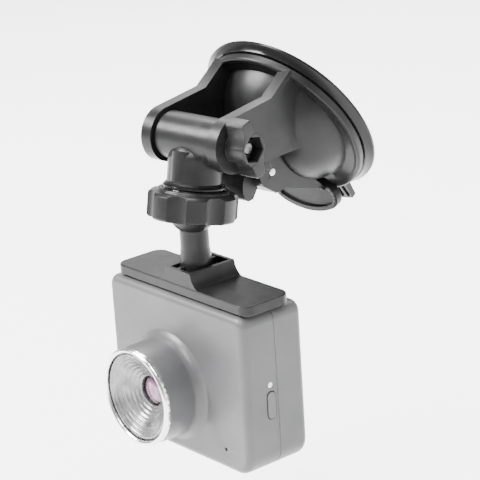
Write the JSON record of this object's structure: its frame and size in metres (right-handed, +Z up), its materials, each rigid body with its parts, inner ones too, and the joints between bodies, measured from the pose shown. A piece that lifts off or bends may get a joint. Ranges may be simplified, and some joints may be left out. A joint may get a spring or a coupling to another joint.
{
  "type": "dash camera",
  "caption": "Small box-shaped dash camera with a round lens boss, hung by a ball joint and a hinged yoke from a lever-locked suction cup for a windscreen.",
  "frame": {"origin": "centre of the suction cup's lip, in the plane of the glass it holds to", "axes": "+Z up, +X along the yoke's hinge towards the wing knob, +Y towards the windscreen; the lens looks towards -Y, spun a little about Z"},
  "size_m": [0.064, 0.0891, 0.1168],
  "materials": {
    "cup_rubber": "gloss",
    "mount_plastic": "satin",
    "stud_plastic": "satin",
    "steel": "satin",
    "black_steel": "satin",
    "bearing_plastic": "satin",
    "foam_pad": "matte",
    "case_plastic": "satin",
    "bright_ring": "polished",
    "cone_plastic": "satin",
    "black_plastic": "matte",
    "lens_glass": "polished",
    "chip_black": "matte",
    "circuit_board": "satin",
    "aluminium": "satin",
    "sleeve_plastic": "gloss",
    "screen_black": "gloss",
    "window_glass": "polished",
    "light_pipe": "gloss",
    "key_plastic": "satin"
  },
  "bodies": {
    "cup_and_yoke": {"cup_core": "cup_rubber", "pull_stud": "stud_plastic", "lever_pin": "steel", "suction_cup": "cup_rubber", "cup_housing": "mount_plastic", "hinge_bolt": "steel", "hinge_washer": "black_steel"},
    "lever": {"lock_lever": "mount_plastic"},
    "knob": {"wing_knob": "mount_plastic", "hinge_nut": "black_steel"},
    "head": {"swivel_head": "mount_plastic"},
    "collar": {"collar_nut": "mount_plastic"},
    "spin_cup": {"socket_cup": "bearing_plastic"},
    "roll_liner": {"ball_liner": "bearing_plastic"},
    "camera": {"ball_plate": "mount_plastic", "adhesive_pad": "foam_pad", "front_shell": "case_plastic", "rear_shell": "case_plastic", "lens_ring": "bright_ring", "lens_cone": "cone_plastic", "lens_barrel": "black_plastic", "front_lens": "lens_glass", "inner_lenses": "lens_glass", "sensor_holder": "black_plastic", "image_sensor": "chip_black", "sensor_board": "circuit_board", "main_board": "circuit_board", "processor": "chip_black", "heat_spreader": "aluminium", "power_capacitors": "sleeve_plastic", "display_panel": "screen_black", "display_window": "window_glass", "button_board": "circuit_board", "status_light": "light_pipe", "usb_socket": "steel", "card_socket": "steel", "speaker": "black_plastic", "microphone": "steel", "board_screws": "steel"},
    "menu_button_1": {"menu_button_1": "key_plastic"},
    "menu_button_2": {"menu_button_2": "key_plastic"},
    "menu_button_3": {"menu_button_3": "key_plastic"},
    "menu_button_4": {"menu_button_4": "key_plastic"},
    "side_button": {"side_button": "key_plastic"},
    "memory_card": {"memory_card": "chip_black"}
  },
  "joints": [
    {"name": "lever_hinge", "type": "hinge", "parent": "cup_and_yoke", "child": "lever", "pos_m": [0, -0.02044, -0.01219], "axis": [-1, 0, 0], "range_deg": [0, 60]},
    {"name": "knob_turn", "type": "hinge", "parent": "cup_and_yoke", "child": "knob", "pos_m": [0, -0.0421, 0.00226], "axis": [1, 0, 0], "range_deg": [0, 180]},
    {"name": "head_hinge", "type": "hinge", "parent": "cup_and_yoke", "child": "head", "pos_m": [0, -0.0421, 0.00226], "axis": [-1, 0, 0], "range_deg": [-6, 100]},
    {"name": "collar_turn", "type": "hinge", "parent": "head", "child": "collar", "pos_m": [0, -0.04615, -0.01803], "axis": [0, -0.1959, -0.9806], "range_deg": [0, 90]},
    {"name": "ball_spin", "type": "hinge", "parent": "head", "child": "spin_cup", "pos_m": [0, -0.04615, -0.01803], "axis": [0, 0.1959, 0.9806], "continuous": true},
    {"name": "ball_roll", "type": "hinge", "parent": "spin_cup", "child": "roll_liner", "pos_m": [0, -0.04615, -0.01803], "axis": [0.1357, 0.9907, 0], "range_deg": [-12, 12]},
    {"name": "ball_tilt", "type": "hinge", "parent": "roll_liner", "child": "camera", "pos_m": [0, -0.04615, -0.01803], "axis": [0.9907, -0.1357, 0], "range_deg": [-35, 12]},
    {"name": "menu_button_1_press", "type": "slide", "parent": "camera", "child": "menu_button_1", "axis": [-0.1357, -0.9907, 0], "range_m": [0, 0.0004], "stiffness_N_per_m": 1500, "springref_m": -0.0002},
    {"name": "menu_button_2_press", "type": "slide", "parent": "camera", "child": "menu_button_2", "axis": [-0.1357, -0.9907, 0], "range_m": [0, 0.0004], "stiffness_N_per_m": 1500, "springref_m": -0.0002},
    {"name": "menu_button_3_press", "type": "slide", "parent": "camera", "child": "menu_button_3", "axis": [-0.1357, -0.9907, 0], "range_m": [0, 0.0004], "stiffness_N_per_m": 1500, "springref_m": -0.0002},
    {"name": "menu_button_4_press", "type": "slide", "parent": "camera", "child": "menu_button_4", "axis": [-0.1357, -0.9907, 0], "range_m": [0, 0.0004], "stiffness_N_per_m": 1500, "springref_m": -0.0002},
    {"name": "side_button_press", "type": "slide", "parent": "camera", "child": "side_button", "axis": [-0.9907, 0.1357, 0], "range_m": [0, 0.0004], "stiffness_N_per_m": 1500, "springref_m": -0.0002},
    {"name": "card_slide", "type": "slide", "parent": "camera", "child": "memory_card", "axis": [-0.9907, 0.1357, 0], "range_m": [0, 0.012]}
  ]
}
